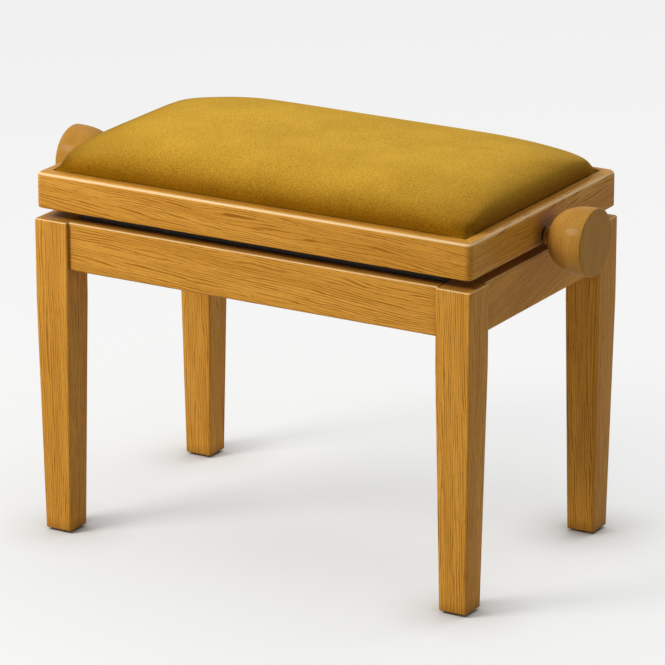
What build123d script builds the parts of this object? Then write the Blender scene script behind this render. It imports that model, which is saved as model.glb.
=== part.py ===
from build123d import *
from math import asin, cos, hypot, pi, sin
import os

os.makedirs("parts", exist_ok=True)

# A piano stool with an upholstered seat that a screw and two pairs of scissor arms lift.
# Millimetres. The origin is on the floor under the middle of the stool, +X runs along the
# long side, +Y to the back and +Z up. The seat is drawn at its lowest.

# Base frame
stool_length = 560
stool_depth = 344
base_height = 374
leg_width = 43
foot_width = 34
leg_straight = 95
leg_round = 2.5
leg_top_round = 2.5
foot_chamfer = 1.5
apron_height = 57
apron_thickness = 20
apron_setback = 5
apron_round = 3
pad_thickness = 2.5
pad_diameter = 26

# Seat frame and cushion
lift_gap = 12
seat_length = 558
seat_depth = 340
rail_height = 42
rail_thickness = 28
rail_lip = 14
rail_corner = 8
rail_top_round = 6
rail_bottom_round = 2
board_thickness = 12
cover_thickness = 1.5
tuck_gap = 1.5
hem_gap = 0.5
cushion_rise = 44
cushion_tuck = 5
cushion_corner = 4
crown_ridge = 20
crown_corner = 85
crown_power = 0.64
crown_steps = 10
foam_gap = 0.3

# Lifting mechanism
lift_travel = 80
plate_thickness = 3
plate_height = 27
plate_rise = 4
plate_end_gap = 3
pivot_margin = 12
pivot_drop = 9
spindle_rise = 9
arm_width = 18
arm_thickness = 4
arm_gap = 0.5
side_gap = 0.3
rod_diameter = 8
rod_end_gap = 0.4
shoulder_diameter = 14
rivet_head = 3
pivot_clearance = 0.1
slide_play = 1.3
nut_width = 24
nut_depth = 30
nut_bar_diameter = 12
nut_gap = 3
spindle_diameter = 12
notch_clearance = 3
bearing_width = 50
bearing_height = 25
bearing_screw_pitch = 36
collar_diameter = 22
collar_length = 8

# Knobs
knob_diameter = 77
knob_thickness = 53
knob_reach = 61
knob_face_round = 3
knob_back_round = 20
neck_diameter = 20
neck_gap = 2.5
knob_bore_depth = 36
knob_pin_diameter = 4
knob_pin_inset = 8
knob_pin_recess = 1

# Fasteners and hidden joinery
dowel_diameter = 8
dowel_length = 32
dowel_inset = 14
wood_clearance = 0.05
bolt_diameter = 8
bolt_in_leg = 25
bolt_tail = 3
nut_flats = 13
nut_height = 6.5
washer_diameter = 20
washer_thickness = 1.6
block_height = 26
block_reach = 72
block_gap = 0.3
screw_diameter = 4
screw_head = 8
screw_length = 16
board_screw_length = 26
board_screw_inset = 13
plate_screw_count = 4
board_screw_columns = 4
board_screw_rows = 2
key_length = 16
key_width = 10
key_thickness = 4

# Levels
pad_top = pad_thickness
leg_taper_top = base_height - leg_straight
apron_bottom = base_height - apron_height
seat_bottom = base_height + lift_gap
seat_top = seat_bottom + rail_height
ledge = seat_top - board_thickness
base_pivot_z = base_height - pivot_drop
spindle_z = seat_bottom + spindle_rise

# Plan positions, as distances from the middle of the stool
leg_x = (stool_length - leg_width) / 2
leg_y = (stool_depth - leg_width) / 2
leg_inner_x = stool_length / 2 - leg_width
leg_inner_y = stool_depth / 2 - leg_width
apron_x = stool_length / 2 - apron_setback - apron_thickness / 2
apron_y = stool_depth / 2 - apron_setback - apron_thickness / 2
apron_inner_x = apron_x - apron_thickness / 2
apron_inner_y = apron_y - apron_thickness / 2
rail_inner_x = seat_length / 2 - rail_thickness
rail_inner_y = seat_depth / 2 - rail_thickness
rebate_x = seat_length / 2 - rail_lip
rebate_y = seat_depth / 2 - rail_lip
cover_x = rebate_x - tuck_gap
cover_y = rebate_y - tuck_gap
board_x = cover_x - cover_thickness
board_y = cover_y - cover_thickness

# Scissor geometry: the outer ends of the arms keep their place and the inner ends slide
plate_half_length = min(leg_inner_x, rail_inner_x) - plate_end_gap
outer_x = plate_half_length - pivot_margin
inner_x = nut_width / 2 + nut_gap
pivot_rise = spindle_z - base_pivot_z
arm_length = hypot(outer_x - inner_x, pivot_rise)
raised_angle = asin((pivot_rise + lift_travel) / arm_length)
raised_inner_x = outer_x - arm_length * cos(raised_angle)
middle_x = (outer_x + inner_x) / 2
middle_z = (base_pivot_z + spindle_z) / 2
plate_face_y = min(apron_inner_y, rail_inner_y) - plate_thickness
lift_arm_y = plate_face_y - side_gap
stay_arm_y = lift_arm_y - arm_thickness - arm_gap
base_rod_end = apron_inner_y - rod_end_gap
seat_rod_end = rail_inner_y - rod_end_gap
rod_radius = rod_diameter / 2
pivot_radius = rod_radius + pivot_clearance
slide_radius = rod_radius + slide_play

# Spindle and knobs
knob_face_x = max(stool_length, seat_length) / 2 + knob_reach
knob_back_x = knob_face_x - knob_thickness
neck_x = seat_length / 2 + neck_gap
spindle_end_x = neck_x + knob_bore_depth
knob_pin_x = neck_x + knob_pin_inset
collar_x = rail_inner_x - plate_thickness - side_gap - collar_length / 2
spindle_radius = spindle_diameter / 2

sides = {"left": -1, "right": 1}
depths = {"front": -1, "back": 1}
corners = [(f"{d}_{s}", sides[s], depths[d]) for d in depths for s in sides]


def save(piece, name):
    piece.part.label = name
    export_step(piece.part, f"parts/{name}.step")


def spread(count, reach):
    return [reach * (2 * i / (count - 1) - 1) for i in range(count)]


def dowel_planes(side_x, side_y):
    """The four dowels of one leg, each at the apron's end with Z pointing into the leg."""
    heights = [apron_bottom + dowel_inset, base_height - dowel_inset]
    long_joint = [(side_x * leg_inner_x, side_y * apron_y, z) for z in heights]
    short_joint = [(side_x * apron_x, side_y * leg_inner_y, z) for z in heights]
    planes = [Plane(origin=at, z_dir=(side_x, 0, 0)) for at in long_joint]
    return planes + [Plane(origin=at, z_dir=(0, side_y, 0)) for at in short_joint]


def turned(plane):
    """The same place, looking the other way."""
    return Plane(origin=plane.origin, z_dir=-plane.z_dir)


def bolt_plane(side_x, side_y):
    """The inner corner of a leg at bolt height, with Z pointing along the diagonal into the leg."""
    at = (side_x * leg_inner_x, side_y * leg_inner_y, apron_bottom + dowel_inset)
    return Plane(origin=at, z_dir=(side_x, side_y, 0))


def base_screw_planes(side_y):
    """Screws through a base plate, on its inner face, with Z pointing into the apron."""
    y = side_y * (apron_inner_y - plate_thickness)
    z = base_height - plate_height + screw_head
    columns = spread(plate_screw_count, outer_x - arm_width)
    return [Plane(origin=(x, y, z), z_dir=(0, side_y, 0)) for x in columns]


def seat_screw_planes(side_y):
    """Screws through a seat plate, on its inner face, with Z pointing into the rail."""
    y = side_y * (rail_inner_y - plate_thickness)
    z = ledge - screw_head
    columns = spread(plate_screw_count, outer_x - arm_width)
    return [Plane(origin=(x, y, z), z_dir=(0, side_y, 0)) for x in columns]


def bearing_screw_planes(side_x):
    """Screws through a bearing plate, on its inner face, with Z pointing into the rail."""
    x = side_x * (rail_inner_x - plate_thickness)
    z = ledge - screw_head
    return [
        Plane(origin=(x, y, z), z_dir=(side_x, 0, 0))
        for y in spread(2, bearing_screw_pitch / 2)
    ]


def board_screw_planes():
    """Screws down through the seat board's edge into the ledge of the rails."""
    x_line = (rail_inner_x + board_x) / 2
    y_line = (rail_inner_y + board_y) / 2
    columns = spread(board_screw_columns, outer_x)
    rows = spread(board_screw_rows, rail_inner_y - board_screw_inset)
    places = [(x, y) for x in columns for y in (-y_line, y_line)]
    places += [(x, y) for x in (-x_line, x_line) for y in rows]
    return [Plane(origin=(x, y, seat_top), z_dir=(0, 0, -1)) for x, y in places]


def drill_screws(planes, depth):
    """Pilot holes in wood for screws that stand at the given planes."""
    with Locations([turned(plane) for plane in planes]):
        Hole(screw_diameter / 2 + wood_clearance, depth=depth)


def sink_screws(planes, depth):
    """Countersunk clearance holes through a plate or board for the same screws."""
    with Locations([turned(plane) for plane in planes]):
        CounterSinkHole(
            screw_diameter / 2 + pivot_clearance,
            screw_head / 2 + pivot_clearance,
            depth=depth,
            counter_sink_angle=90,
        )


def screw_set(planes, length):
    """Countersunk screws with their flat heads at the given planes."""
    with BuildPart() as piece:
        with Locations(planes):
            Cone(
                screw_head / 2,
                screw_diameter / 2,
                (screw_head - screw_diameter) / 2,
                align=(Align.CENTER, Align.CENTER, Align.MIN),
            )
            Cylinder(
                screw_diameter / 2,
                length,
                align=(Align.CENTER, Align.CENTER, Align.MIN),
            )
    return piece


# Legs: square at the joint, then tapered on all four faces down to the foot
for name, side_x, side_y in corners:
    with BuildPart() as leg:
        with BuildSketch(Plane.XY.offset(pad_top)):
            with Locations((side_x * leg_x, side_y * leg_y)):
                RectangleRounded(foot_width, foot_width, leg_round)
        with BuildSketch(Plane.XY.offset(leg_taper_top)) as joint_square:
            with Locations((side_x * leg_x, side_y * leg_y)):
                RectangleRounded(leg_width, leg_width, leg_round)
        loft(ruled=True)
        extrude(joint_square.sketch, amount=leg_straight)
        chamfer(leg.faces().sort_by(Axis.Z)[0].edges(), foot_chamfer)
        fillet(leg.faces().sort_by(Axis.Z)[-1].edges(), leg_top_round)
        with Locations([turned(plane) for plane in dowel_planes(side_x, side_y)]):
            Hole(dowel_diameter / 2 + wood_clearance, depth=dowel_length / 2)
        with Locations(turned(bolt_plane(side_x, side_y))):
            Hole(bolt_diameter / 2 + wood_clearance, depth=bolt_in_leg)
    save(leg, f"leg_{name}")

# Felt pads under the feet
with BuildPart() as felt_pads:
    with BuildSketch():
        with GridLocations(2 * leg_x, 2 * leg_y, 2, 2):
            Circle(pad_diameter / 2)
    extrude(amount=pad_thickness)
save(felt_pads, "felt_pads")

# Long aprons, front and back, which carry the base plates
for name, side_y in depths.items():
    with BuildPart() as long_apron:
        with Locations((0, side_y * apron_y, base_height - apron_height / 2)):
            Box(2 * leg_inner_x, apron_thickness, apron_height)
        fillet(long_apron.edges().filter_by(Axis.X), apron_round)
        for side_x in sides.values():
            with Locations(dowel_planes(side_x, side_y)[:2]):
                Hole(dowel_diameter / 2 + wood_clearance, depth=dowel_length / 2)
        drill_screws(base_screw_planes(side_y), screw_length)
    save(long_apron, f"apron_{name}")

# Short aprons, left and right
for name, side_x in sides.items():
    with BuildPart() as short_apron:
        with Locations((side_x * apron_x, 0, base_height - apron_height / 2)):
            Box(apron_thickness, 2 * leg_inner_y, apron_height)
        fillet(short_apron.edges().filter_by(Axis.Y), apron_round)
        for side_y in depths.values():
            with Locations(dowel_planes(side_x, side_y)[2:]):
                Hole(dowel_diameter / 2 + wood_clearance, depth=dowel_length / 2)
    save(short_apron, f"apron_{name}")

# Dowels that join the aprons to the legs
with BuildPart() as frame_dowels:
    for _, side_x, side_y in corners:
        with Locations(dowel_planes(side_x, side_y)):
            Cylinder(dowel_diameter / 2, dowel_length)
save(frame_dowels, "frame_dowels")

# Corner blocks: notched round the leg, cut at 45 degrees and drilled for the leg bolt
block_x = leg_inner_x - block_gap
block_y = leg_inner_y - block_gap
block_near_x = apron_inner_x - block_reach
block_near_y = apron_inner_y - block_reach
block_seat = (block_x + block_y - apron_inner_x - block_near_y) / 2**0.5
bolt_out = block_seat + block_gap * 2**0.5
for name, side_x, side_y in corners:
    outline = [
        (apron_inner_x, block_near_y),
        (apron_inner_x, block_y),
        (block_x, block_y),
        (block_x, apron_inner_y),
        (block_near_x, apron_inner_y),
    ]
    with BuildPart() as corner_block:
        with BuildSketch(Plane.XY.offset(apron_bottom + apron_round)):
            with BuildLine():
                Polyline([(side_x * x, side_y * y) for x, y in outline], close=True)
            make_face()
        extrude(amount=block_height)
        with Locations(bolt_plane(side_x, side_y)):
            Hole(bolt_diameter / 2 + wood_clearance)
    save(corner_block, f"corner_block_{name}")

# Leg bolts with their washers and nuts
bolt_stub = bolt_out + washer_thickness + nut_height + bolt_tail
with BuildPart() as leg_bolts:
    for _, side_x, side_y in corners:
        with Locations(bolt_plane(side_x, side_y).offset(-bolt_stub)):
            Cylinder(
                bolt_diameter / 2,
                bolt_stub + bolt_in_leg,
                align=(Align.CENTER, Align.CENTER, Align.MIN),
            )
save(leg_bolts, "leg_bolts")

with BuildPart() as leg_washers:
    for _, side_x, side_y in corners:
        with BuildSketch(bolt_plane(side_x, side_y).offset(-bolt_out)):
            Circle(washer_diameter / 2)
            Circle(bolt_diameter / 2 + pivot_clearance, mode=Mode.SUBTRACT)
        extrude(amount=-washer_thickness)
save(leg_washers, "leg_washers")

with BuildPart() as leg_nuts:
    for _, side_x, side_y in corners:
        with BuildSketch(bolt_plane(side_x, side_y).offset(-bolt_out - washer_thickness)):
            RegularPolygon(nut_flats / 2, 6, major_radius=False)
            Circle(bolt_diameter / 2 + wood_clearance, mode=Mode.SUBTRACT)
        extrude(amount=-nut_height)
save(leg_nuts, "leg_nuts")

# Steel plates on the long aprons, with pivot holes outside and slide slots inside. They stand
# a little above the aprons and close the gap below the seat. The seat rails have plates to match
slot_x = (inner_x + raised_inner_x) / 2
slot_travel = raised_inner_x - inner_x
for name, side_y in depths.items():
    with BuildPart() as base_plate:
        base_face = Plane(
            origin=(0, side_y * apron_inner_y, base_pivot_z), x_dir=(1, 0, 0), z_dir=(0, -side_y, 0)
        )
        with BuildSketch(base_face):
            with Locations((0, side_y * (pivot_drop + plate_rise / 2 - plate_height / 2))):
                Rectangle(2 * plate_half_length, plate_height + plate_rise)
            with Locations((-outer_x, 0), (outer_x, 0)):
                Circle(pivot_radius, mode=Mode.SUBTRACT)
            with Locations((-slot_x, 0), (slot_x, 0)):
                SlotCenterToCenter(slot_travel, 2 * slide_radius, mode=Mode.SUBTRACT)
        extrude(amount=plate_thickness)
        sink_screws(base_screw_planes(side_y), plate_thickness)
    save(base_plate, f"base_plate_{name}")

    with BuildPart() as seat_plate:
        seat_face = Plane(
            origin=(0, side_y * rail_inner_y, spindle_z), x_dir=(1, 0, 0), z_dir=(0, -side_y, 0)
        )
        with BuildSketch(seat_face):
            with Locations((0, side_y * (ledge - screw_head / 2 - plate_height / 2 - spindle_z))):
                Rectangle(2 * plate_half_length, plate_height)
            with Locations((-outer_x, 0), (outer_x, 0)):
                Circle(pivot_radius, mode=Mode.SUBTRACT)
            with Locations((-slot_x, 0), (slot_x, 0)):
                SlotCenterToCenter(slot_travel, 2 * slide_radius, mode=Mode.SUBTRACT)
        extrude(amount=plate_thickness)
        sink_screws(seat_screw_planes(side_y), plate_thickness)
    save(seat_plate, f"seat_plate_{name}")

base_screws = [plane for side_y in depths.values() for plane in base_screw_planes(side_y)]
seat_screws = [plane for side_y in depths.values() for plane in seat_screw_planes(side_y)]
bearing_screws = [plane for side_x in sides.values() for plane in bearing_screw_planes(side_x)]
save(screw_set(base_screws, screw_length), "base_plate_screws")
save(screw_set(seat_screws, screw_length), "seat_plate_screws")
save(screw_set(bearing_screws, screw_length), "bearing_screws")
save(screw_set(board_screw_planes(), board_screw_length), "board_screws")

# Seat frame: one moulded ring, parted at the mitres into four rails
key_z = seat_bottom + rail_height / 2
key_planes = [
    Plane(
        origin=(
            side_x * (seat_length / 2 - rail_thickness / 2),
            side_y * (seat_depth / 2 - rail_thickness / 2),
            key_z,
        ),
        x_dir=(side_x, -side_y, 0),
        z_dir=(0, 0, 1),
    )
    for _, side_x, side_y in corners
]
with BuildPart() as rail_ring:
    with BuildSketch(Plane.XY.offset(seat_bottom)):
        RectangleRounded(seat_length, seat_depth, rail_corner)
        Rectangle(2 * rail_inner_x, 2 * rail_inner_y, mode=Mode.SUBTRACT)
    extrude(amount=rail_height)
    with BuildSketch(Plane.XY.offset(ledge)):
        Rectangle(2 * rebate_x, 2 * rebate_y)
    extrude(amount=board_thickness, mode=Mode.SUBTRACT)
    fillet(rail_ring.faces().sort_by(Axis.Z)[-1].outer_wire().edges(), rail_top_round)
    fillet(rail_ring.faces().sort_by(Axis.Z)[0].outer_wire().edges(), rail_bottom_round)
    with Locations(key_planes):
        Box(
            key_length + 2 * wood_clearance,
            key_width + 2 * wood_clearance,
            key_thickness + 2 * wood_clearance,
            mode=Mode.SUBTRACT,
        )

with BuildPart() as mitre_keys:
    with Locations(key_planes):
        Box(key_length, key_width, key_thickness)
save(mitre_keys, "mitre_keys")

mitre_out = rail_corner
mitre_in = rail_thickness + rail_corner
outer_corner = (seat_length / 2 + mitre_out, seat_depth / 2 + mitre_out)
inner_corner = (seat_length / 2 - mitre_in, seat_depth / 2 - mitre_in)
for name, side_y in depths.items():
    with BuildPart() as long_rail:
        add(rail_ring.part)
        with BuildSketch(Plane.XY.offset(seat_bottom)):
            with BuildLine():
                Polyline(
                    (-outer_corner[0], side_y * outer_corner[1]),
                    (outer_corner[0], side_y * outer_corner[1]),
                    (inner_corner[0], side_y * inner_corner[1]),
                    (-inner_corner[0], side_y * inner_corner[1]),
                    close=True,
                )
            make_face()
        extrude(amount=rail_height, mode=Mode.INTERSECT)
        drill_screws(seat_screw_planes(side_y), screw_length)
        drill_screws(board_screw_planes(), board_screw_length)
    save(long_rail, f"seat_rail_{name}")

notch_radius = spindle_radius + notch_clearance
for name, side_x in sides.items():
    with BuildPart() as short_rail:
        add(rail_ring.part)
        with BuildSketch(Plane.XY.offset(seat_bottom)):
            with BuildLine():
                Polyline(
                    (side_x * outer_corner[0], -outer_corner[1]),
                    (side_x * outer_corner[0], outer_corner[1]),
                    (side_x * inner_corner[0], inner_corner[1]),
                    (side_x * inner_corner[0], -inner_corner[1]),
                    close=True,
                )
            make_face()
        extrude(amount=rail_height, mode=Mode.INTERSECT)
        drill_screws(bearing_screw_planes(side_x), screw_length)
        drill_screws(board_screw_planes(), board_screw_length)
        # the spindle's notch, open at the bottom edge
        with BuildSketch(
            Plane(origin=(side_x * rail_inner_x, 0, spindle_z), x_dir=(0, 1, 0), z_dir=(side_x, 0, 0))
        ):
            Circle(notch_radius)
            with Locations((0, -side_x * spindle_rise / 2)):
                Rectangle(2 * notch_radius, spindle_rise)
        extrude(amount=rail_thickness, mode=Mode.SUBTRACT)
    save(short_rail, f"seat_rail_{name}")

    # the plate that the spindle turns in, on the rail's inner face
    with BuildPart() as bearing_plate:
        with BuildSketch(
            Plane(origin=(side_x * rail_inner_x, 0, spindle_z), x_dir=(0, 1, 0), z_dir=(-side_x, 0, 0))
        ):
            with Locations((0, -side_x * (ledge - screw_head / 2 - bearing_height / 2 - spindle_z))):
                Rectangle(bearing_width, bearing_height)
            Circle(spindle_radius + pivot_clearance, mode=Mode.SUBTRACT)
        extrude(amount=plate_thickness)
        sink_screws(bearing_screw_planes(side_x), plate_thickness)
    save(bearing_plate, f"bearing_plate_{name}")

# Seat board, resting on the ledge of the rails
with BuildPart() as seat_board:
    with BuildSketch(Plane.XY.offset(ledge)):
        RectangleRounded(2 * board_x, 2 * board_y, cushion_corner)
    extrude(amount=board_thickness)
    sink_screws(board_screw_planes(), board_thickness)
save(seat_board, "seat_board")


def crown_solid(inset):
    """The cushion's form: drawn in where it is tucked, steep at the sides and domed on top."""
    half_x = cover_x - inset
    half_y = cover_y - inset
    with BuildPart() as crown:
        for step in range(crown_steps + 1):
            turn = pi / 2 * step / crown_steps
            height = sin(turn) ** crown_power
            drawn_in = (half_y - crown_ridge) * (1 - cos(turn))
            if step:
                drawn_in -= cushion_tuck
            corner = cushion_corner + crown_corner * height
            widest_corner = half_y - drawn_in - foam_gap
            with BuildSketch(Plane.XY.offset(seat_top + (cushion_rise - inset) * height)):
                RectangleRounded(
                    2 * (half_x - drawn_in), 2 * (half_y - drawn_in), min(corner, widest_corner)
                )
        loft(ruled=True)
    return crown


# Foam on the board, and the cover drawn over it and tucked down between board and rail
save(crown_solid(cover_thickness + foam_gap), "seat_foam")

outer_crown = crown_solid(0)
inner_crown = crown_solid(cover_thickness)
with BuildPart() as seat_cover:
    add(outer_crown.part)
    add(inner_crown.part, mode=Mode.SUBTRACT)
    with BuildSketch(Plane.XY.offset(ledge + hem_gap)):
        RectangleRounded(2 * cover_x, 2 * cover_y, cushion_corner)
        RectangleRounded(2 * board_x, 2 * board_y, cushion_corner, mode=Mode.SUBTRACT)
    extrude(amount=board_thickness - hem_gap)
save(seat_cover, "seat_cover")


def arm(start, end, face_y, side_y, hole_radii):
    """A flat bar with round ends and three holes: at its start, its middle and its end."""
    along = (end[0] - start[0], 0, end[1] - start[1])
    with BuildPart() as piece:
        face = Plane(
            origin=(start[0], side_y * face_y, start[1]), x_dir=along, z_dir=(0, -side_y, 0)
        )
        with BuildSketch(face):
            with Locations((arm_length / 2, 0)):
                SlotCenterToCenter(arm_length, arm_width)
            for place, radius in zip((0, arm_length / 2, arm_length), hole_radii):
                with Locations((place, 0)):
                    Circle(radius, mode=Mode.SUBTRACT)
        extrude(amount=arm_thickness)
    return piece


def cross_rod(x, z, half_length, shoulder=None):
    """A round rod from front to back, with a spacing shoulder at each end where it is given."""
    with BuildPart() as piece:
        with BuildSketch(Plane(origin=(x, 0, z), x_dir=(1, 0, 0), z_dir=(0, 1, 0))):
            Circle(rod_radius)
        extrude(amount=half_length, both=True)
        if shoulder:
            for side_y in depths.values():
                near, far = shoulder
                with BuildSketch(
                    Plane(origin=(x, side_y * near, z), x_dir=(1, 0, 0), z_dir=(0, side_y, 0))
                ):
                    Circle(shoulder_diameter / 2)
                extrude(amount=far - near)
    return piece


# Scissor arms. The lift arms turn on the base, and their inner ends carry the spindle nut and
# slide in the seat plates. The stay arms turn on the seat, and their inner ends slide in the
# base plates. The middle rod has play in the stay arms.
rod_fit = rod_radius + wood_clearance
stay_shoulder_base = (stay_arm_y + wood_clearance, apron_inner_y - plate_thickness - side_gap)
stay_shoulder_seat = (stay_arm_y + wood_clearance, rail_inner_y - plate_thickness - side_gap)
for name, side_x in sides.items():
    base_outer = (side_x * outer_x, base_pivot_z)
    base_inner = (side_x * inner_x, base_pivot_z)
    seat_outer = (side_x * outer_x, spindle_z)
    seat_inner = (side_x * inner_x, spindle_z)
    for depth_name, side_y in depths.items():
        lift_holes = (rod_fit, rod_fit, pivot_radius)
        lift_arm = arm(base_outer, seat_inner, lift_arm_y, side_y, lift_holes)
        save(lift_arm, f"{name}_lift_arm_{depth_name}")
        stay_holes = (rod_fit, slide_radius, rod_fit)
        stay_arm = arm(seat_outer, base_inner, stay_arm_y, side_y, stay_holes)
        save(stay_arm, f"{name}_stay_arm_{depth_name}")

    save(cross_rod(*base_outer, base_rod_end), f"{name}_base_rod")
    save(cross_rod(side_x * middle_x, middle_z, lift_arm_y), f"{name}_middle_rod")
    slide_rod = cross_rod(*base_inner, base_rod_end, stay_shoulder_base)
    save(slide_rod, f"{name}_slide_rod")

    # short pins from the stay arms into the seat plates, with a head and a spacing shoulder
    with BuildPart() as seat_pins:
        for side_y in depths.values():
            head = Plane(
                origin=(seat_outer[0], side_y * (stay_arm_y - arm_thickness), seat_outer[1]),
                x_dir=(1, 0, 0),
                z_dir=(0, side_y, 0),
            )
            with BuildSketch(head):
                Circle(shoulder_diameter / 2)
            extrude(amount=-rivet_head)
            with BuildSketch(head):
                Circle(rod_radius)
            extrude(amount=seat_rod_end - stay_arm_y + arm_thickness)
            near, far = stay_shoulder_seat
            with BuildSketch(head.offset(near - stay_arm_y + arm_thickness)):
                Circle(shoulder_diameter / 2)
            extrude(amount=far - near)
    save(seat_pins, f"{name}_seat_pins")

    # nut block on a cross bar whose ends turn in the lift arms and slide in the seat plates
    with BuildPart() as nut_bar:
        with Locations((seat_inner[0], 0, spindle_z)):
            Box(nut_width, nut_depth, nut_width)
        across = Plane(origin=(seat_inner[0], 0, spindle_z), x_dir=(1, 0, 0), z_dir=(0, 1, 0))
        with BuildSketch(across):
            Circle(nut_bar_diameter / 2)
        extrude(amount=lift_arm_y - arm_thickness - side_gap, both=True)
        with BuildSketch(across):
            Circle(rod_radius)
        extrude(amount=seat_rod_end, both=True)
        with BuildSketch(Plane(origin=(seat_inner[0], 0, spindle_z), z_dir=(1, 0, 0))):
            Circle(spindle_radius + slide_play)
        extrude(amount=nut_width, both=True, mode=Mode.SUBTRACT)
    save(nut_bar, f"{name}_nut_bar")

# Spindle with a cross hole at each end for the knob's pin
knob_places = [(side_x * knob_pin_x, 0, spindle_z) for side_x in sides.values()]
pin_hole_radius = knob_pin_diameter / 2 + wood_clearance
with BuildPart() as spindle:
    with BuildSketch(Plane(origin=(0, 0, spindle_z), z_dir=(1, 0, 0))):
        Circle(spindle_radius)
    extrude(amount=spindle_end_x, both=True)
    with Locations(knob_places):
        Cylinder(pin_hole_radius, neck_diameter, mode=Mode.SUBTRACT)
save(spindle, "spindle")

with BuildPart() as spindle_collars:
    for side_x in sides.values():
        with BuildSketch(Plane(origin=(side_x * collar_x, 0, spindle_z), z_dir=(1, 0, 0))):
            Circle(collar_diameter / 2)
            Circle(spindle_radius + wood_clearance, mode=Mode.SUBTRACT)
        extrude(amount=collar_length / 2, both=True)
save(spindle_collars, "spindle_collars")

with BuildPart() as knob_pins:
    with Locations(knob_places):
        Cylinder(knob_pin_diameter / 2, neck_diameter - 2 * knob_pin_recess)
save(knob_pins, "knob_pins")

# Turned knobs: a neck towards the seat, then a thick drum with a softened rim
spindle_axis = Axis((0, 0, spindle_z), (1, 0, 0))
for name, side_x in sides.items():
    with BuildPart() as knob:
        profile = Plane(origin=(0, 0, spindle_z), x_dir=(side_x, 0, 0), z_dir=(0, -side_x, 0))
        with BuildSketch(profile) as half_section:
            with BuildLine():
                Polyline(
                    (neck_x, 0),
                    (neck_x, neck_diameter / 2),
                    (knob_back_x, neck_diameter / 2),
                    (knob_back_x, knob_diameter / 2),
                    (knob_face_x, knob_diameter / 2),
                    (knob_face_x, 0),
                    close=True,
                )
            make_face()
            back_rim, face_rim = half_section.vertices().group_by(Axis.Y)[-1].sort_by(Axis.X)
            fillet(back_rim, knob_back_round)
            fillet(face_rim, knob_face_round)
        revolve(axis=spindle_axis)
        with Locations(Plane(origin=(side_x * neck_x, 0, spindle_z), z_dir=(-side_x, 0, 0))):
            Hole(spindle_radius + wood_clearance, depth=knob_bore_depth)
        with Locations((side_x * knob_pin_x, 0, spindle_z)):
            Cylinder(pin_hole_radius, neck_diameter, mode=Mode.SUBTRACT)
    save(knob, f"knob_{name}")
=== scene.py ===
from math import acos, cos, pi, radians, sin

import bmesh
import bpy
import numpy
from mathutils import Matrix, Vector


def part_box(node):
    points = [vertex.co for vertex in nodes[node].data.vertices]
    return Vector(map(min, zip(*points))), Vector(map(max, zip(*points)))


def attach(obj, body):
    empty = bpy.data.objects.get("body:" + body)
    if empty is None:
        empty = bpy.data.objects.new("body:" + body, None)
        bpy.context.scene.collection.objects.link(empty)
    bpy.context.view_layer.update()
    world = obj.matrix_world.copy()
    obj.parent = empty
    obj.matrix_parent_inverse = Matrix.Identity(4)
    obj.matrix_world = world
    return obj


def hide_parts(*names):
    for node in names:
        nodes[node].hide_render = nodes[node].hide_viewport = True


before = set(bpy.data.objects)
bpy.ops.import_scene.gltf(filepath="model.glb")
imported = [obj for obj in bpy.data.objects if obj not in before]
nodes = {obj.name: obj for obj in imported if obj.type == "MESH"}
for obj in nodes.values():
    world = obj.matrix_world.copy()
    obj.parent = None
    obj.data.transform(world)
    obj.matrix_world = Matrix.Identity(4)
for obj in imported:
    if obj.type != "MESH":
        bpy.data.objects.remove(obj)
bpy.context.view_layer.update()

scene = bpy.context.scene


class Wire:  # one output socket that takes part in sums
    def __init__(self, net, socket):
        self.net = net
        self.socket = socket

    def sum(self, operation, first, second):
        return self.net.add("ShaderNodeMath", {"operation": operation}, {0: first, 1: second})

    def __add__(self, other):
        return self.sum("ADD", self, other)

    def __radd__(self, other):
        return self.sum("ADD", other, self)

    def __sub__(self, other):
        return self.sum("SUBTRACT", self, other)

    def __rsub__(self, other):
        return self.sum("SUBTRACT", other, self)

    def __mul__(self, other):
        return self.sum("MULTIPLY", self, other)

    def __rmul__(self, other):
        return self.sum("MULTIPLY", other, self)


class Net:  # a node tree that is being filled
    def __init__(self, tree):
        self.tree = tree

    def add(self, kind, settings=None, sockets=None, output=0):
        node = self.tree.nodes.new(kind)
        for name, value in (settings or {}).items():
            setattr(node, name, value)
        for key, value in (sockets or {}).items():
            wires = value if isinstance(value, list) else [value]
            if isinstance(wires[0], Wire):
                for wire in wires:
                    self.tree.links.new(wire.socket, node.inputs[key])
            else:
                node.inputs[key].default_value = value
        return Wire(self, node.outputs[output]) if node.outputs else node

    def blend(self, factor, first, second, mode="MIX"):
        settings = {"data_type": "RGBA", "blend_type": mode}
        return self.add("ShaderNodeMix", settings, {0: factor, 6: first, 7: second}, output=2)

    def parts(self, vector):  # its x, y and z
        node = self.add("ShaderNodeSeparateXYZ", {}, {0: vector}).socket.node
        return [Wire(self, socket) for socket in node.outputs]

    def facing(self, axis=2):  # how far the surface looks up, or along x or y
        return self.parts(self.add("ShaderNodeNewGeometry", output="Normal"))[axis]

    def openness(self, reach, rays):  # 1 where nothing stands near
        settings = {"samples": rays}
        return self.add("ShaderNodeAmbientOcclusion", settings, {"Distance": reach}, output="AO")

    def window(self, value, low, high):  # 0 below low, 1 above high, smooth between
        settings = {"interpolation_type": "SMOOTHSTEP"}
        return self.add("ShaderNodeMapRange", settings, {0: value, 1: low, 2: high})


def colour(rgb):
    return (*rgb, 1.0)


def newFinish(name):
    material = bpy.data.materials.new(name)
    material.use_nodes = True
    material.node_tree.nodes.clear()
    return material, Net(material.node_tree)


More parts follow.
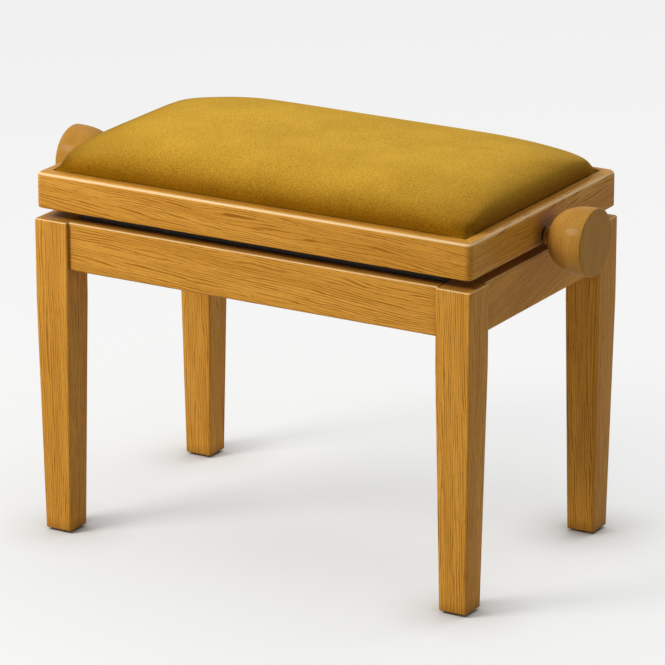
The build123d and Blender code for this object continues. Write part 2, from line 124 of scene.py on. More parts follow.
def closeFinish(net, baseColour, roughness, height, bump, fixed):
    relief = {"Strength": bump[0], "Distance": bump[1], "Height": height}
    normal = net.add("ShaderNodeBump", {}, relief)
    sockets = {"Base Color": baseColour, "Roughness": roughness, "Normal": normal}
    shader = net.add("ShaderNodeBsdfPrincipled", {}, {**sockets, **fixed})
    net.add("ShaderNodeOutputMaterial", {}, {"Surface": shader})


def grainSpace(net, turn):  # object coordinates, turned so that the grain runs true
    place = net.add("ShaderNodeTexCoord", output="Object")
    angles = tuple(radians(angle) for angle in turn)
    return net.add("ShaderNodeMapping", {}, {"Vector": place, "Rotation": angles})


def cloud(net, place, size, detail):  # noise with no direction
    return net.add("ShaderNodeTexNoise", {}, {"Vector": place, "Scale": 1 / size, "Detail": detail})


def fibres(net, place, along, size, detail, shift=0.0):  # noise drawn out along the grain
    length, width = size
    scale = tuple(1 / length if axis == along else 1 / width for axis in "XYZ")
    drawn = {"Vector": place, "Scale": scale, "Location": (shift,) * 3}
    return cloud(net, net.add("ShaderNodeMapping", {}, drawn), 1.0, detail)


def pingPong(net, value, reach):  # up to reach and down again, over and over
    return net.add("ShaderNodeMath", {"operation": "PINGPONG"}, {0: value, 1: reach})


# fibre sizes are length and width in metres, edges say where a pattern starts and where it is full
oak = {
    "pale": (0.695, 0.331, 0.051),
    "deep": (0.587, 0.262, 0.033),
    "line": (0.27, 0.092, 0.006),
    "pore": (0.18, 0.058, 0.004),
    "paintedHighlight": (0.95, 0.72, 0.40),  # painted highlight: paler along the upward-facing rounded edges
    "joint": (0.085, 0.026, 0.003),  # painted shade: darker where pieces meet and in crevices
    "bandSize": (0.35, 0.016), "bandEdge": (0.32, 0.68),
    "wanderSize": (0.22, 0.024), "wander": 0.020,
    "rippleSize": (0.035, 0.004), "ripple": 0.0022,
    "lineStep": 0.0027, "lineEdge": (0.06, 0.30), "lineShare": 0.85,
    "fadeSize": (0.060, 0.0028), "fadeEdge": (0.34, 0.66), "faintest": 0.20,
    "poreSize": (0.010, 0.0008), "poreEdge": (0.58, 0.72), "poreShare": 0.35,
    "paintedHighlightFrom": (0.34, 0.58), "paintedHighlightTo": (0.72, 0.90), "paintedHighlightShare": 0.75,
    "creaseShadeReach": 0.018, "creaseShadeRays": 8, "creaseShadeShare": 0.85,
    "roughness": 0.36, "lineRoughness": 0.06, "poreRoughness": 0.12,
    "lineDepth": 0.4, "poreDepth": 0.6, "bump": (0.30, 0.0003),
    "coat": 0.04, "coatRoughness": 0.12, "specular": 0.05, "glint": (1.0, 0.68, 0.34),
}
knobWood = {
    **oak,
    "pale": (0.51, 0.255, 0.048), "deep": (0.45, 0.215, 0.036), "line": (0.27, 0.117, 0.017),
    "lineShare": 0.45, "poreShare": 0.15, "paintedHighlightShare": 0.0, "roughness": 0.44,
}


def oakFinish(name, wood, along, turn=(0, 0, 0), shift=0.0):
    material, net = newFinish(name)
    place = grainSpace(net, turn)
    # each layer of the grain comes from its own place in the noise
    band = fibres(net, place, along, wood["bandSize"], detail=3.0, shift=shift)
    wander = fibres(net, place, along, wood["wanderSize"], detail=2.0, shift=shift + 3)
    ripple = fibres(net, place, along, wood["rippleSize"], detail=1.0, shift=shift + 5)
    fade = fibres(net, place, along, wood["fadeSize"], detail=2.0, shift=shift + 7)
    pore = fibres(net, place, along, wood["poreSize"], detail=1.0, shift=shift + 13)
    first, second = [wire for wire, axis in zip(net.parts(place), "XYZ") if axis != along]
    path = first + second + wander * wood["wander"] + ripple * wood["ripple"]
    wave = pingPong(net, path * (1 / wood["lineStep"]), 0.5)
    strength = net.window(fade, *wood["fadeEdge"]) * (1 - wood["faintest"]) + wood["faintest"]
    lines = (1 - net.window(wave, *wood["lineEdge"])) * strength
    pores = net.window(pore, *wood["poreEdge"])
    bands = net.window(band, *wood["bandEdge"])
    body = net.blend(bands, colour(wood["pale"]), colour(wood["deep"]))
    body = net.blend(lines * wood["lineShare"], body, colour(wood["line"]))
    body = net.blend(pores * wood["poreShare"], body, colour(wood["pore"]))
    # painted highlight: the rounded edges that face up turn paler, as if they caught the lamp
    upward = net.facing()
    rim = net.window(upward, *wood["paintedHighlightFrom"]) * (1 - net.window(upward, *wood["paintedHighlightTo"]))
    body = net.blend(rim * wood["paintedHighlightShare"], body, colour(wood["paintedHighlight"]))
    # painted shade: darker where other parts stand near, in joints, gaps and crevices
    openness = net.openness(wood["creaseShadeReach"], wood["creaseShadeRays"])
    body = net.blend((1 - openness) * wood["creaseShadeShare"], body, colour(wood["joint"]))
    roughness = lines * wood["lineRoughness"] + pores * wood["poreRoughness"] + wood["roughness"]
    height = 1 - lines * wood["lineDepth"] - pores * wood["poreDepth"]
    fixed = {
        "Coat Weight": wood["coat"], "Coat Roughness": wood["coatRoughness"],
        "Specular IOR Level": wood["specular"], "Specular Tint": colour(wood["glint"]),
    }
    closeFinish(net, body, roughness, height, wood["bump"], fixed)
    return material


velvet = {
    "light": (0.75, 0.432, 0.047),
    "shade": (0.43, 0.224, 0.015),
    "low": (0.40, 0.29, 0.06), "paintedShadeLowEdge": (0.4300, 0.4750),  # painted shade: darker towards the bottom of the cushion's sides
    "paintedLeftShade": (0.66, 0.61, 0.42), "leftShadeEdge": (-0.55, -0.02),  # painted shade: surfaces that face left are darker
    "napSize": 0.0015, "napEdge": (0.34, 0.68), "napShare": 0.75,
    "patchSize": 0.060, "patchEdge": (0.30, 0.70), "patchShare": 0.25,
    "roughness": 0.86, "napRoughness": 0.12, "bump": (0.6, 0.0008),
    "sheen": 0.4, "sheenRoughness": 0.4, "sheenTint": (1.0, 0.70, 0.14), "specular": 0.10,
}


def velvetFinish():
    material, net = newFinish("mustardVelvet")
    place = net.add("ShaderNodeTexCoord", output="Object")
    nap = cloud(net, place, velvet["napSize"], detail=2.5)
    patch = cloud(net, place, velvet["patchSize"], detail=3.0)
    patches = net.window(patch, *velvet["patchEdge"]) * velvet["patchShare"]
    lean = patches + net.window(nap, *velvet["napEdge"]) * velvet["napShare"]
    pile = net.blend(lean, colour(velvet["light"]), colour(velvet["shade"]))
    # painted shade: the pile darkens towards the bottom of the cushion
    closed = 1 - net.window(net.parts(place)[2], *velvet["paintedShadeLowEdge"])
    pile = net.blend(closed, pile, colour(velvet["low"]), "MULTIPLY")
    # painted shade: the pile darkens where the surface faces left
    paintedLeftShade = 1 - net.window(net.facing(0), *velvet["leftShadeEdge"])
    pile = net.blend(paintedLeftShade, pile, colour(velvet["paintedLeftShade"]), "MULTIPLY")
    roughness = nap * velvet["napRoughness"] + velvet["roughness"]
    tint = colour(velvet["sheenTint"])
    fixed = {
        "Sheen Weight": velvet["sheen"], "Sheen Roughness": velvet["sheenRoughness"],
        "Sheen Tint": tint, "Specular IOR Level": velvet["specular"], "Specular Tint": tint,
    }
    closeFinish(net, pile, roughness, nap, velvet["bump"], fixed)
    return material


steel = {
    "black": (0.028, 0.024, 0.019), "worn": (0.080, 0.068, 0.054), "wornEdge": (0.45, 0.75),
    "drawnSize": (0.030, 0.0008), "patchSize": 0.007,
    "roughness": 0.36, "wornRoughness": 0.15, "bump": (0.2, 0.0001),
}


def steelFinish(name, along):  # black lacquer with a slight drawn grain
    material, net = newFinish(name)
    place = net.add("ShaderNodeTexCoord", output="Object")
    drawn = fibres(net, place, along, steel["drawnSize"], detail=2.0)
    patch = cloud(net, place, steel["patchSize"], detail=3.0)
    streaks, patches = [net.window(noise, *steel["wornEdge"]) for noise in (drawn, patch)]
    worn = streaks * 0.5 + patches * 0.5
    coat = net.blend(worn, colour(steel["black"]), colour(steel["worn"]))
    roughness = worn * steel["wornRoughness"] + steel["roughness"]
    closeFinish(net, coat, roughness, drawn, steel["bump"], {"Metallic": 0.0})
    return material


beech = {
    "pale": (0.60, 0.40, 0.22), "deep": (0.50, 0.31, 0.155),
    "bandSize": (0.20, 0.009), "bandEdge": (0.3, 0.7),
    "fleck": (0.33, 0.185, 0.085), "fleckSize": (0.004, 0.0007),
    "fleckEdge": (0.60, 0.72), "fleckShare": 0.6,
    "roughness": 0.58, "fleckRoughness": 0.1, "bump": (0.25, 0.0002),
}


def beechFinish(name, along, turn):
    material, net = newFinish(name)
    place = grainSpace(net, turn)
    band = fibres(net, place, along, beech["bandSize"], detail=3.0)
    fleck = fibres(net, place, along, beech["fleckSize"], detail=1.0)
    fleck = net.window(fleck, *beech["fleckEdge"])
    bands = net.window(band, *beech["bandEdge"])
    body = net.blend(bands, colour(beech["pale"]), colour(beech["deep"]))
    body = net.blend(fleck * beech["fleckShare"], body, colour(beech["fleck"]))
    roughness = fleck * beech["fleckRoughness"] + beech["roughness"]
    closeFinish(net, body, roughness, 1 - fleck, beech["bump"], {})
    return material


plywood = {
    "face": (0.62, 0.44, 0.25),
    "grainSize": (0.12, 0.004), "grainEdge": (0.3, 0.7), "grainShare": 0.5,
    "glue": (0.33, 0.20, 0.10), "ply": 0.0015, "glueEdge": (0.75, 0.95), "glueShare": 0.7,
    "sideEdge": (0.4, 0.8), "roughness": 0.5, "grainRoughness": 0.2, "bump": (0.2, 0.0002),
}


def plywoodFinish():
    material, net = newFinish("birchPlywood")
    place = net.add("ShaderNodeTexCoord", output="Object")
    grain = fibres(net, place, "X", plywood["grainSize"], detail=4.0)
    layer = pingPong(net, net.parts(place)[2], plywood["ply"])
    dark = net.window(layer * (1 / plywood["ply"]), *plywood["glueEdge"])
    flat = net.add("ShaderNodeMath", {"operation": "ABSOLUTE"}, {0: net.facing()})
    edge = dark * (1 - net.window(flat, *plywood["sideEdge"]))
    face = net.window(grain, *plywood["grainEdge"]) * plywood["grainShare"]
    body = net.blend(face, colour(plywood["face"]), colour(plywood["glue"]))
    body = net.blend(edge * plywood["glueShare"], body, colour(plywood["glue"]))
    roughness = grain * plywood["grainRoughness"] + plywood["roughness"]
    closeFinish(net, body, roughness, grain, plywood["bump"], {})
    return material


felt = {
    "light": (0.15, 0.10, 0.06), "dark": (0.07, 0.045, 0.026), "fibreSize": 0.0009,
    "roughness": 0.88, "fibreRoughness": 0.1, "bump": (0.6, 0.0004), "sheen": 0.3,
}


def feltFinish():
    material, net = newFinish("brownFelt")
    place = net.add("ShaderNodeTexCoord", output="Object")
    fuzz = cloud(net, place, felt["fibreSize"], detail=4.0)
    body = net.blend(fuzz, colour(felt["light"]), colour(felt["dark"]))
    roughness = fuzz * felt["fibreRoughness"] + felt["roughness"]
    closeFinish(net, body, roughness, fuzz, felt["bump"], {"Sheen Weight": felt["sheen"]})
    return material


legOak = oakFinish("oakLeg", oak, "Z", turn=(0, 1.2, 0))
longOak = oakFinish("oakLongPiece", oak, "X", turn=(0, -3, 0), shift=3.0)
sideOak = oakFinish("oakSidePiece", oak, "Y", turn=(-3, 0, 0), shift=5.0)
slantOak = oakFinish("oakSideApron", oak, "Y", turn=(-13, 0, 0), shift=9.0)
knobOak = oakFinish("oakKnob", knobWood, "Z", shift=11.0)
velvetPile = velvetFinish()
steelLong = steelFinish("blackSteelLong", "X")
steelCross = steelFinish("blackSteelCross", "Y")
beechBlock = beechFinish("beechBlock", "X", turn=(0, 0, 45))
plyBoard = plywoodFinish()
feltPad = feltFinish()


def finishFor(name):
    if name.startswith(("leg_front", "leg_back")):
        return legOak
    if name in ("apron_left", "apron_right"):
        return slantOak
    if name in ("seat_rail_left", "seat_rail_right"):
        return sideOak
    if name.startswith(("apron", "seat_rail")):
        return longOak
    if name in ("knob_left", "knob_right"):
        return knobOak
    if name.startswith("corner_block") or name in ("frame_dowels", "mitre_keys"):
        return beechBlock
    if name == "seat_board":
        return plyBoard
    if name == "felt_pads":
        return feltPad
    if name in ("seat_cover", "seat_foam"):
        return velvetPile
    if "rod" in name or "nut_bar" in name or name.endswith("_pins"):
        return steelCross
    return steelLong


for name, piece in nodes.items():
    piece.data.materials.clear()
    piece.data.materials.append(finishFor(name))
print("finishes:", len(bpy.data.materials))


def link(name, data):
    piece = bpy.data.objects.new(name, data)
    scene.collection.objects.link(piece)
    return piece


def evaluated(piece):
    graph = bpy.context.evaluated_depsgraph_get()
    return bpy.data.meshes.new_from_object(piece.evaluated_get(graph), depsgraph=graph)


def settle(piece):  # the modifiers' result becomes the piece's own mesh
    mesh = evaluated(piece)
    piece.modifiers.clear()
    piece.data = mesh
    return mesh


def opened(mesh):
    shape = bmesh.new()
    shape.from_mesh(mesh)
    return shape


def faceOutward(shape, mesh):  # the opened shape goes back into its mesh, all faces outward
    bmesh.ops.recalc_face_normals(shape, faces=shape.faces)
    shape.to_mesh(mesh)
    shape.free()


def smoothShade(mesh):
    for face in mesh.polygons:
        face.use_smooth = True


creaseAngle = radians(40)  # steeper edges stay sharp
hair = 1e-6  # points nearer to a cut than this lie on it
tiny = 1e-9  # keeps a length off zero

# the cushion is crowned, drawn in at the tuck, and swelled as cloth over its foam
cushion = {
    "rise": 0.0415, "ridgeX": 0.150, "ridgeY": 0.023, "power": 0.55,
    "corner": 0.004, "crownCorner": 0.100, "cornerPower": 1.2, "tuck": 0.0065, "tuckRings": 6,
    "rings": 40, "longRun": 60, "shortRun": 34, "arc": 16,  # steps up and around
    "lip": 0.014, "tuckGap": 0.0015, "root": 0.015, "air": 0.0002,
    "cloth": 0.0013, "hem": 0.001, "skirtRise": 0.0015,  # the tucked edge of the cover
    "voxel": 0.005, "slack": 0.0030, "heldRise": 0.001,
    "pressure": 4.0, "quality": 5, "frames": 20, "cap": 0.0035, "calm": 40, "soften": 12,
}
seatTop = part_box("seat_rail_front")[1].z
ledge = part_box("seat_board")[0].z
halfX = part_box("seat_rail_right")[1].x - cushion["lip"] - cushion["tuckGap"]
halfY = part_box("seat_rail_back")[1].y - cushion["lip"] - cushion["tuckGap"]


def roundedRing(reachX, reachY, corner, z):
    arcs = []
    for index, (sideX, sideY) in enumerate(((1, 1), (-1, 1), (-1, -1), (1, -1))):
        middle = Vector((sideX * (reachX - corner), sideY * (reachY - corner), z))
        angles = [pi / 2 * (index + step / cushion["arc"]) for step in range(cushion["arc"] + 1)]
        arcs.append([middle + corner * Vector((cos(a), sin(a), 0)) for a in angles])
    ring = []
    for index, arc in enumerate(arcs):
        start, end = arc[-1], arcs[(index + 1) % 4][0]
        count = cushion["shortRun"] if index % 2 else cushion["longRun"]
        ring += arc
        ring += [start.lerp(end, step / count) for step in range(1, count)]
    return ring


def crownRings():
    rise = cushion["rise"] - cushion["slack"]
    rings = [roundedRing(halfX, halfY, cushion["corner"], seatTop - cushion["root"])]
    for step in range(cushion["rings"] + 1):
        turn = pi / 2 * step / cushion["rings"]
        height = sin(turn) ** cushion["power"]
        drawnIn = 1 - cos(turn)
        bulge = cushion["tuck"] * min(1, step / cushion["tuckRings"])
        reachX = halfX - (halfX - cushion["ridgeX"]) * drawnIn + bulge
        reachY = halfY - (halfY - cushion["ridgeY"]) * drawnIn + bulge
        corner = cushion["corner"] + cushion["crownCorner"] * height ** cushion["cornerPower"]
        corner = min(corner, min(reachX, reachY) - cushion["air"])
        rings.append(roundedRing(reachX, reachY, corner, seatTop + rise * height))
    return rings


def skirtRings():  # the cover's edge, tucked down between board and rail
    air, cloth = cushion["air"], cushion["cloth"]
    low, high = ledge + cushion["hem"], seatTop + cushion["skirtRise"]
    inner = [(halfX - cloth, halfY - cloth, z) for z in (high, low)]
    outer = [(halfX - air, halfY - air, z) for z in (low, high)]
    return [roundedRing(x, y, cushion["corner"], z) for x, y, z in inner + outer]


def ringMesh(name, rings, closed):  # closed rings come back to the first, open ones get caps
    points = [point for ring in rings for point in ring]
    count, total = len(rings[0]), len(rings)
    faces = []
    for level in range(total if closed else total - 1):
        low, high = level * count, (level + 1) % total * count
        for index in range(count):
            after = (index + 1) % count
            faces.append((low + index, low + after, high + after, high + index))
    if not closed:
        faces.append(tuple(reversed(range(count))))
        faces.append(tuple(range(len(points) - count, len(points))))
    mesh = bpy.data.meshes.new(name)
    mesh.from_pydata([tuple(point) for point in points], [], faces)
    return mesh


def places(mesh):
    flat = numpy.empty(len(mesh.vertices) * 3)
    mesh.vertices.foreach_get("co", flat)
    return flat.reshape(-1, 3)


def swell(piece):  # pressure inside the cover, held where it is tucked
    held = piece.vertex_groups.new(name="held")
    start = places(piece.data)
    tucked = start[:, 2] < seatTop + cushion["heldRise"]
    held.add([int(index) for index in numpy.nonzero(tucked)[0]], 1.0, "REPLACE")
    cloth = piece.modifiers.new("swell", "CLOTH")
    cloth.settings.quality = cushion["quality"]
    cloth.settings.use_pressure = True
    cloth.settings.uniform_pressure_force = cushion["pressure"]
    cloth.settings.effector_weights.gravity = 0
    cloth.settings.vertex_group_mass = "held"
    cloth.collision_settings.use_collision = False
    for number in range(1, cushion["frames"] + 1):
        scene.frame_set(number)
    mesh = settle(piece)
    scene.frame_set(1)
    piece.vertex_groups.clear()
    move = places(mesh) - start
    length = numpy.linalg.norm(move, axis=1, keepdims=True)
    move *= numpy.minimum(1, cushion["cap"] / numpy.maximum(length, tiny))
    edges = numpy.empty(len(mesh.edges) * 2, dtype=int)
    mesh.edges.foreach_get("vertices", edges)
    first, second = edges[0::2], edges[1::2]
    share = numpy.bincount(edges, minlength=len(move)).reshape(-1, 1)

    def even(values):
        around = numpy.zeros_like(values)
        numpy.add.at(around, first, values[second])
        numpy.add.at(around, second, values[first])
        return (values + around / share) / 2

    for _ in range(cushion["calm"]):  # the filled cover is taut, so small puckers even out
        move = even(move)
        move[tucked] = 0
    shape = start + move
    for _ in range(cushion["soften"]):  # and its hips round off
        soft = even(shape)
        soft[tucked] = shape[tucked]
        shape = soft
    mesh.vertices.foreach_set("co", shape.ravel())
    mesh.update()


def finishCushion(mesh):  # cut flat where it rests on the board, closed there, and given its skirt
    shape = opened(mesh)
    parts = list(shape.verts) + list(shape.edges) + list(shape.faces)
    plane = {"plane_co": (0, 0, seatTop + cushion["air"]), "plane_no": (0, 0, 1)}
    cut = bmesh.ops.bisect_plane(shape, geom=parts, dist=hair, clear_inner=True, **plane)
    rim = [part for part in cut["geom_cut"] if isinstance(part, bmesh.types.BMEdge)]
    bmesh.ops.contextual_create(shape, geom=rim)
    shape.from_mesh(ringMesh("coverSkirt", skirtRings(), True))
    faceOutward(shape, mesh)


def makeCushion():
    form = link("crownForm", ringMesh("crownForm", crownRings(), False))
    piece = link("seatCushion", form.data.copy())
    remesh = piece.modifiers.new("voxels", "REMESH")
    remesh.mode = "VOXEL"
    remesh.voxel_size = cushion["voxel"]
    true = piece.modifiers.new("true", "SHRINKWRAP")  # back onto the crown's own surface
    true.target = form
    settle(piece)
    bpy.data.objects.remove(form)
    swell(piece)
    finer = piece.modifiers.new("finer", "SUBSURF")
    finer.levels = finer.render_levels = 1
    mesh = settle(piece)
    finishCushion(mesh)
    smoothShade(mesh)
    mesh.materials.clear()
    mesh.materials.append(velvetPile)
    return piece


seatCushion = makeCushion()
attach(seatCushion, "seat")
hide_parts("seat_cover", "seat_foam")
top = max(vertex.co.z for vertex in seatCushion.data.vertices)
print("cushion: top at %.1f mm, %d faces" % (top * 1000, len(seatCushion.data.polygons)))

# each knob is turned to a full dome with a flat face, on a short neck
knob = {
    "depth": 0.053, "radius": 0.0385, "neck": 0.010, "power": 2.6,
    "edge": 0.0016, "edgeSteps": 6, "flat": 0.003, "steps": 30, "around": 96,
}


def knobProfile(face, back):  # place along the spindle and radius, from the face to the neck's end
    radius, edge = knob["radius"], knob["edge"]
    profile = [(face, radius - edge - knob["flat"])]
    for step in range(knob["edgeSteps"] + 1):
        turn = pi / 2 * step / knob["edgeSteps"]
        profile.append((face - edge * (1 - cos(turn)), radius - edge * (1 - sin(turn))))
    bend = 2 / knob["power"]
    last = acos((knob["neck"] / radius) ** (1 / bend))
    for step in range(1, knob["steps"] + 1):
        turn = last * step / knob["steps"]
        along = face - edge - (knob["depth"] - edge) * sin(turn) ** bend
        profile.append((along, radius * cos(turn) ** bend))
    return profile + [(back, knob["neck"])]


def makeKnob(name, node, side):
    low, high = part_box(node)
    back, face = sorted((abs(low.x), abs(high.x)))
    level = (low.z + high.z) / 2
    angles = [2 * pi * step / knob["around"] for step in range(knob["around"])]
    rings = [
        [Vector((side * x, radius * cos(angle), level + radius * sin(angle))) for angle in angles]
        for x, radius in knobProfile(face, back)
    ]
    mesh = ringMesh(name, rings, False)
    faceOutward(opened(mesh), mesh)
    smoothShade(mesh)
    mesh.set_sharp_from_angle(angle=creaseAngle)
    mesh.materials.append(knobOak)
    piece = link(name, mesh)
    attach(piece, "spindle")
    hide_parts(node)


makeKnob("knobLeft", "knob_left", -1)
makeKnob("knobRight", "knob_right", 1)
print("knobs: two, turned")


def newTree(name, inputs):  # an empty Geometry Nodes tree with its named inputs
    tree = bpy.data.node_groups.new(name, "GeometryNodeTree")
    for title, kind in inputs.items():
        tree.interface.new_socket(title, in_out="INPUT", socket_type="NodeSocket" + kind)
    tree.interface.new_socket("Mesh", in_out="OUTPUT", socket_type="NodeSocketGeometry")
    net = Net(tree)
    entry = tree.nodes.new("NodeGroupInput")
    return net, {socket.name: Wire(net, socket) for socket in entry.outputs if socket.name}


def closeTree(net, shape, material):
    whole = net.add("GeometryNodeRealizeInstances", {}, {"Geometry": shape})
    dressed = net.add("GeometryNodeSetMaterial", {}, {"Geometry": whole, "Material": material})
    net.add("NodeGroupOutput", {}, {"Mesh": dressed})
    return net.tree


def grow(name, tree, values):  # one plain mesh from a tree and its sizes
    piece = link(name, bpy.data.meshes.new(name))
    modifier = piece.modifiers.new(name, "NODES")
    modifier.node_group = tree
    for socket in tree.interface.items_tree:
        if socket.in_out == "INPUT":
            modifier[socket.identifier] = values[socket.name]
    settle(piece)
    return piece


def shifted(net, shape, move=(0, 0, 0), turn=(0, 0, 0)):
    sockets = {"Geometry": shape, "Translation": move, "Rotation": turn}
    return net.add("GeometryNodeTransform", {}, sockets)


def vector(net, x=0.0, y=0.0, z=0.0):
    return net.add("ShaderNodeCombineXYZ", {}, {0: x, 1: y, 2: z})


# cross-recess screws in two rows that face away from each other
screw = {
    "Head": 0.0079, "Shank": 0.0039, "Length": 0.016,
    "Slot": 0.0010, "Slot Reach": 0.0046, "Slot Depth": 0.0012,
}
headSides, shankSides = 24, 12


def screwTree():
    sizes = {title: "Float" for title in screw}
    rowInputs = {"Start": "Vector", "End": "Vector", "Turn": "Vector", "Count": "Int"}
    net, size = newTree("screwRows", {**rowInputs, **sizes})
    sink = (size["Head"] - size["Shank"]) * 0.5
    radii = {"Radius Top": size["Shank"] * 0.5, "Radius Bottom": size["Head"] * 0.5}
    head = net.add("GeometryNodeMeshCone", {}, {"Vertices": headSides, **radii, "Depth": sink})
    deep = size["Slot Depth"] * 2
    spans = [
        vector(net, size["Slot Reach"], size["Slot"], deep),
        vector(net, size["Slot"], size["Slot Reach"], deep),
    ]
    slots = [net.add("GeometryNodeMeshCube", {}, {"Size": span}) for span in spans]
    cut = {"operation": "DIFFERENCE", "solver": "EXACT"}
    head = net.add("GeometryNodeMeshBoolean", cut, {0: head, 1: slots})
    rod = {"Vertices": shankSides, "Radius": size["Shank"] * 0.5, "Depth": size["Length"] - sink}
    shank = net.add("GeometryNodeMeshCylinder", {}, rod)
    shank = shifted(net, shank, vector(net, z=(size["Length"] + sink) * 0.5))
    whole = net.add("GeometryNodeJoinGeometry", {}, {0: [head, shank]})
    line = {"Count": size["Count"], "Start Location": size["Start"], "Offset": size["End"]}
    points = net.add("GeometryNodeMeshLine", {"mode": "END_POINTS"}, line)
    placed = {"Points": points, "Instance": whole, "Rotation": size["Turn"]}
    row = net.add("GeometryNodeInstanceOnPoints", {}, placed)
    rows = net.add("GeometryNodeJoinGeometry", {}, {0: [row, shifted(net, row, turn=(0, 0, pi))]})
    return closeTree(net, rows, steelLong)


def makeScrews(name, node, body, across, count):  # across: the axis that the screws point along
    low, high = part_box(node)
    level = (low.z + high.z) / 2
    if across == "Y":
        reach, face = high.x - screw["Head"] / 2, high.y - screw["Length"]
        ends = (-reach, face, level), (reach, face, level)
        turn = (-pi / 2, 0, 0)
    else:
        reach, face = high.y - screw["Head"] / 2, high.x - screw["Length"]
        ends = (face, -reach, level), (face, reach, level)
        turn = (0, pi / 2, 0)
    row = {"Start": ends[0], "End": ends[1], "Turn": turn, "Count": count}
    piece = grow(name, screwRows, {**row, **screw})
    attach(piece, body)
    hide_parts(node)


screwRows = screwTree()
makeScrews("basePlateScrews", "base_plate_screws", "base", "Y", 4)
makeScrews("seatPlateScrews", "seat_plate_screws", "seat", "Y", 4)
makeScrews("bearingScrews", "bearing_screws", "seat", "X", 2)

# the spindle has a right-hand thread on its right half and a left-hand one on its left
thread = {"Core": 0.0047, "Ridge": 0.0013, "Start": 0.004, "Reach": 0.084, "Turns": 14.0}
rodSides, ridgeSides, turnSteps = 32, 8, 24


def spindleTree():
    sizes = {title: "Float" for title in ("Radius", "Level", "Half Length", *thread)}
    net, size = newTree("threadedSpindle", sizes)
    section = {"Resolution": ridgeSides, "Radius": size["Ridge"]}
    wire = net.add("GeometryNodeCurvePrimitiveCircle", {}, section)
    join = size["Start"] + size["Reach"]
    plain = size["Half Length"] - join
    level = vector(net, z=size["Level"])
    rod = {"Vertices": rodSides, "Radius": size["Core"], "Depth": join * 2}
    core = net.add("GeometryNodeMeshCylinder", {}, rod)
    shapes = [shifted(net, core, level, (0, pi / 2, 0))]
    for side, leftHand in ((1, False), (-1, True)):
        coil = {
            "Resolution": turnSteps, "Rotations": size["Turns"], "Height": size["Reach"],
            "Start Radius": size["Core"], "End Radius": size["Core"], "Reverse": leftHand,
        }
        path = net.add("GeometryNodeCurveSpiral", {}, coil)
        sweep = {"Curve": path, "Profile Curve": wire, "Fill Caps": True}
        ridge = net.add("GeometryNodeCurveToMesh", {}, sweep)
        place = vector(net, x=size["Start"] * side, z=size["Level"])
        shapes.append(shifted(net, ridge, place, (0, side * pi / 2, 0)))
        rod = {"Vertices": rodSides, "Radius": size["Radius"], "Depth": plain}
        end = net.add("GeometryNodeMeshCylinder", {}, rod)
        place = vector(net, x=(join + plain * 0.5) * side, z=size["Level"])
        shapes.append(shifted(net, end, place, (0, pi / 2, 0)))
    whole = net.add("GeometryNodeJoinGeometry", {}, {0: shapes})
    return closeTree(net, whole, steelLong)


def makeSpindle():
    low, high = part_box("spindle")
    sizes = {"Radius": high.y, "Level": (low.z + high.z) / 2, "Half Length": high.x}
    piece = grow("threadedSpindle", spindleTree(), {**sizes, **thread})
    smoothShade(piece.data)
    piece.data.set_sharp_from_angle(angle=creaseAngle)
    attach(piece, "spindle")
    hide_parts("spindle")
    return piece


spindlePiece = makeSpindle()
print("steel: three sets of screws and a spindle of", len(spindlePiece.data.polygons), "faces")

# pale floor, soft light from the left front, and the camera
studio = {
    "floor": (0.68, 0.66, 0.61), "floorSide": 30.0, "floorRoughness": 0.9,
    "shown": (0.990, 0.997, 1.0), "lift": 0.80, "shadeUnderReach": 0.50, "foot": 0.08, "shadeRays": 16,
    "world": 0.20, "sky": 0.90,
    "key": ((-1.36, -1.80, 2.13), 0.9, 71.0),  # place, size and power of a lamp
    "rear": ((0.4, 1.7, 2.5), 2.0, 32.0),
    "fill": ((3.4, -2.2, 1.6), 2.5, 4.0),
    "lampAim": (0, 0, 0.3),
    "eye": (2.5364, -4.2837, 1.8520), "back": (0.48347, -0.81914, 0.30868),
    "lens": 249.6, "sensor": 36, "farEnd": 100,
}


def lookedAt(net):  # 1 where a ray shows the stage, 0 where it only lights the stool
    rays = ("Is Camera Ray", "Is Glossy Ray", "Is Transmission Ray")
    return sum(net.add("ShaderNodeLightPath", output=ray) for ray in rays)


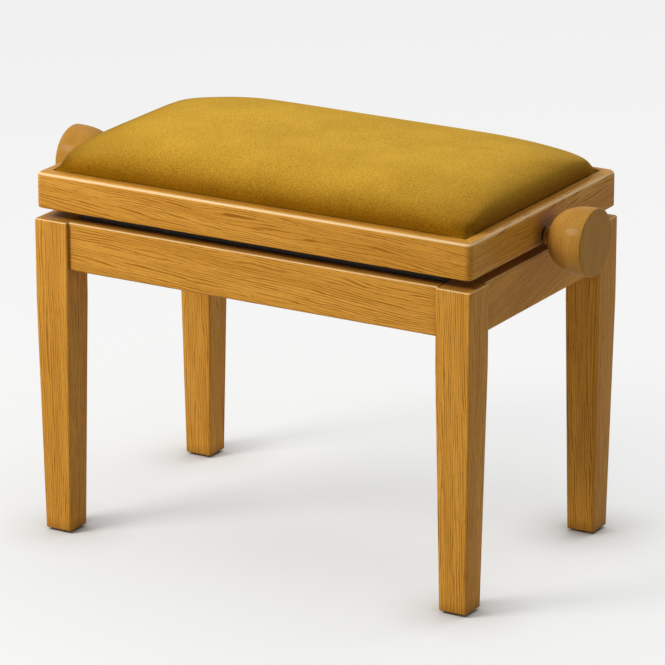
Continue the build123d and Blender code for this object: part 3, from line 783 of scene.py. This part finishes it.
def makeFloor():
    mesh = bpy.data.meshes.new("studioFloor")
    side = studio["floorSide"]
    corners = [(-side, -side, 0), (side, -side, 0), (side, side, 0), (-side, side, 0)]
    mesh.from_pydata(corners, [], [(0, 1, 2, 3)])
    floor = link("studioFloor", mesh)
    material, net = newFinish("paleFloor")
    matt = {"Base Color": colour(studio["floor"]), "Roughness": studio["floorRoughness"]}
    plain = net.add("ShaderNodeBsdfPrincipled", {}, matt)
    glow = net.add("ShaderNodeEmission", {}, {"Color": colour(studio["shown"]), "Strength": 1.0})
    # painted shade: near the stool and its feet the floor's glow gives way, so the floor shows
    # darker there, over its real shadow
    shadeUnderStool = net.openness(studio["shadeUnderReach"], studio["shadeRays"])
    foot = net.openness(studio["foot"], studio["shadeRays"])
    shown = lookedAt(net) * shadeUnderStool * foot * foot * studio["lift"]
    shader = net.add("ShaderNodeMixShader", {}, {0: shown, 1: plain, 2: glow})
    net.add("ShaderNodeOutputMaterial", {}, {"Surface": shader})
    mesh.materials.append(material)


def hang(name, data, at, aim):  # a lamp or a camera that looks along aim
    holder = link(name, data)
    holder.location = at
    holder.rotation_euler = aim.to_track_quat("-Z", "Y").to_euler()
    return holder


def makeLamp(name, at, size, power):
    lamp = bpy.data.lights.new(name, "AREA")
    lamp.size = size
    lamp.energy = power
    hang(name, lamp, at, Vector(studio["lampAim"]) - Vector(at))


def makeWorld():
    world = bpy.data.worlds.new("studioAir")
    world.use_nodes = True
    world.node_tree.nodes.clear()
    net = Net(world.node_tree)
    strength = lookedAt(net) * (studio["sky"] - studio["world"]) + studio["world"]
    air = net.add("ShaderNodeBackground", {}, {"Color": (1, 1, 1, 1), "Strength": strength})
    net.add("ShaderNodeOutputWorld", {}, {"Surface": air})
    scene.world = world


def makeCamera():
    lens = bpy.data.cameras.new("camera")
    lens.sensor_width = studio["sensor"]
    lens.lens = studio["lens"]
    lens.clip_end = studio["farEnd"]
    scene.camera = hang("camera", lens, studio["eye"], -Vector(studio["back"]))


makeFloor()
makeLamp("keyLamp", *studio["key"])
makeLamp("rearLamp", *studio["rear"])
makeLamp("fillLamp", *studio["fill"])
makeWorld()
makeCamera()
scene.view_settings.view_transform = "Standard"
print("studio: floor, three lamps and camera")
